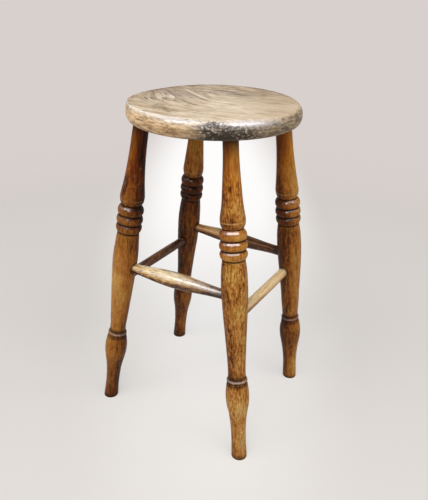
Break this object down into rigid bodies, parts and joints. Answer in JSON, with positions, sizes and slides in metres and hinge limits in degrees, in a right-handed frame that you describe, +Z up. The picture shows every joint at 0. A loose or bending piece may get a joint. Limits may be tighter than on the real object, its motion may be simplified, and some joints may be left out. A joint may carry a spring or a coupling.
{
  "type": "clerks stool",
  "caption": "Tall round-topped wooden stool on splayed turned legs with bead and vase turnings, tied by turned stretchers; a seat for a person at a high desk or bench.",
  "frame": {"origin": "on the floor, under the centre of the round seat", "axes": "+Z up; -Y is the front, the side of the swelled front stretcher; +X to the right seen from the front"},
  "size_m": [0.3709, 0.3332, 0.671],
  "materials": {
    "seat_elm": "old elm, worn to a greyish beige on top, darker and polished by handling at the edge",
    "leg_beech": "stained and polished beech with dark flecks, dirt in the grooves and worn crests",
    "rail_beech": "stained beech, worn pale and smooth on top by feet"
  },
  "bodies": {
    "root": {"seat": "seat_elm", "leg_front_left": "leg_beech", "leg_front_right": "leg_beech", "leg_back_right": "leg_beech", "leg_back_left": "leg_beech", "stretcher_front": "rail_beech", "stretcher_back": "rail_beech", "stretcher_right": "rail_beech", "stretcher_left": "rail_beech"}
  },
  "joints": []
}
